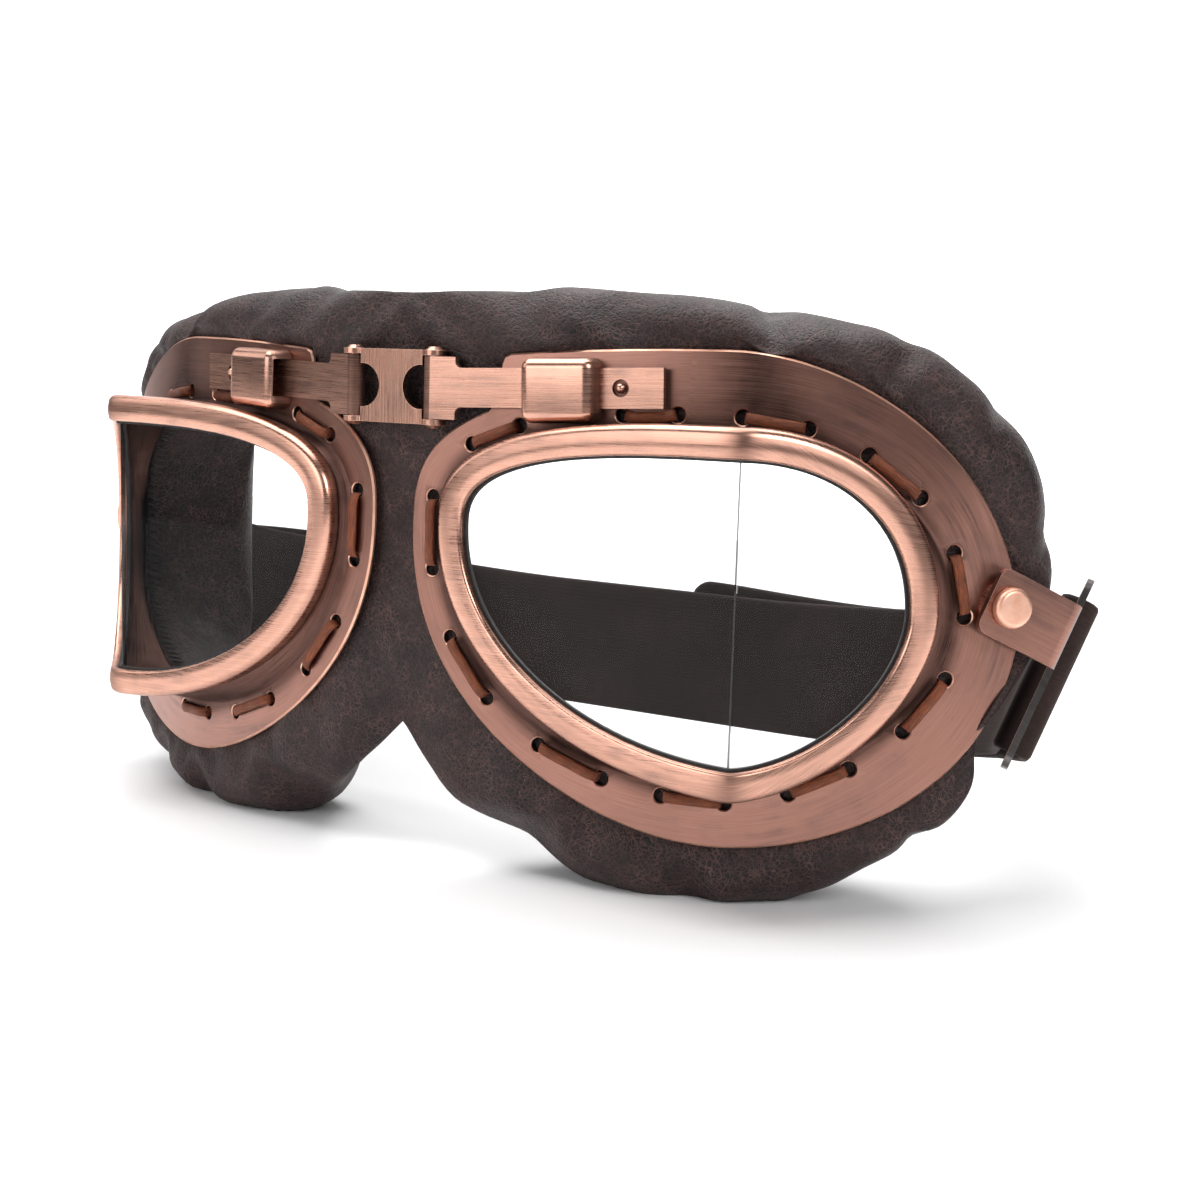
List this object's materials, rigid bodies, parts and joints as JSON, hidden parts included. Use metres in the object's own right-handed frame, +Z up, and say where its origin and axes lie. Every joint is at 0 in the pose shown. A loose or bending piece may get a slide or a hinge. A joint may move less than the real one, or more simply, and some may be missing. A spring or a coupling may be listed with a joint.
{
  "type": "goggles",
  "caption": "Riding goggles with folded glass lenses in laced copper eyepieces, hinged sliding nose bridge, leather face pads and an elastic strap.",
  "frame": {"origin": "on the table under the goggles, half way across and half way between the rim's front and the strap's back", "axes": "+X to the wearer's left, +Y towards the wearer, +Z up"},
  "size_m": [0.1936, 0.0866, 0.0889],
  "materials": {
    "copper": "brushed antique copper",
    "leather": "soft dark brown leather with reddish crackle",
    "lens": "clear, polished",
    "gasket": "matt black",
    "lace": "twisted rust-brown cord",
    "strap": "napped dark brown elastic"
  },
  "bodies": {
    "bridge": {"bridge_link": "copper", "hinge_pins": "copper", "nose_pad": "leather", "strap_band": "strap"},
    "left_bar": {"left_sliding_bar": "copper", "left_stop_stud": "copper"},
    "left_eye": {"left_base_plate": "copper", "left_lens_rim": "copper", "left_lens_gasket": "gasket", "left_front_pane": "lens", "left_side_pane": "lens", "left_lacing": "lace", "left_keeper": "copper", "left_pad": "leather", "left_pivot_washer": "copper", "left_pivot_rivet": "copper"},
    "left_bracket": {"left_strap_bracket": "copper", "left_strap_end": "strap"},
    "right_bar": {"right_sliding_bar": "copper", "right_stop_stud": "copper"},
    "right_eye": {"right_base_plate": "copper", "right_lens_rim": "copper", "right_lens_gasket": "gasket", "right_front_pane": "lens", "right_side_pane": "lens", "right_lacing": "lace", "right_keeper": "copper", "right_pad": "leather", "right_pivot_washer": "copper", "right_pivot_rivet": "copper"},
    "right_bracket": {"right_strap_bracket": "copper", "right_strap_end": "strap"}
  },
  "joints": [
    {"name": "left_fold", "type": "hinge", "parent": "bridge", "child": "left_bar", "pos_m": [0.0077, -0.04039, 0.0735], "axis": [0, 0, 1], "range_deg": [-10, 15], "deforming": ["nose_pad", "strap_band"]},
    {"name": "left_width", "type": "slide", "parent": "left_bar", "child": "left_eye", "axis": [0.9815, 0.1889, 0.0305], "range_m": [-0.0016, 0.0022], "deforming": ["nose_pad", "strap_band"]},
    {"name": "left_strap_pivot", "type": "hinge", "parent": "left_eye", "child": "left_bracket", "pos_m": [0.08803, -0.01187, 0.04563], "axis": [0.7659, -0.6427, 0.018], "range_deg": [-8, 30], "deforming": ["strap_band"]},
    {"name": "right_fold", "type": "hinge", "parent": "bridge", "child": "right_bar", "pos_m": [-0.0077, -0.04039, 0.0735], "axis": [0, 0, -1], "range_deg": [-10, 15], "deforming": ["nose_pad", "strap_band"]},
    {"name": "right_width", "type": "slide", "parent": "right_bar", "child": "right_eye", "axis": [-0.9815, 0.1889, 0.0305], "range_m": [-0.0016, 0.0022], "deforming": ["nose_pad", "strap_band"]},
    {"name": "right_strap_pivot", "type": "hinge", "parent": "right_eye", "child": "right_bracket", "pos_m": [-0.08803, -0.01187, 0.04563], "axis": [0.7659, 0.6427, -0.018], "range_deg": [-8, 30], "deforming": ["strap_band"]}
  ]
}
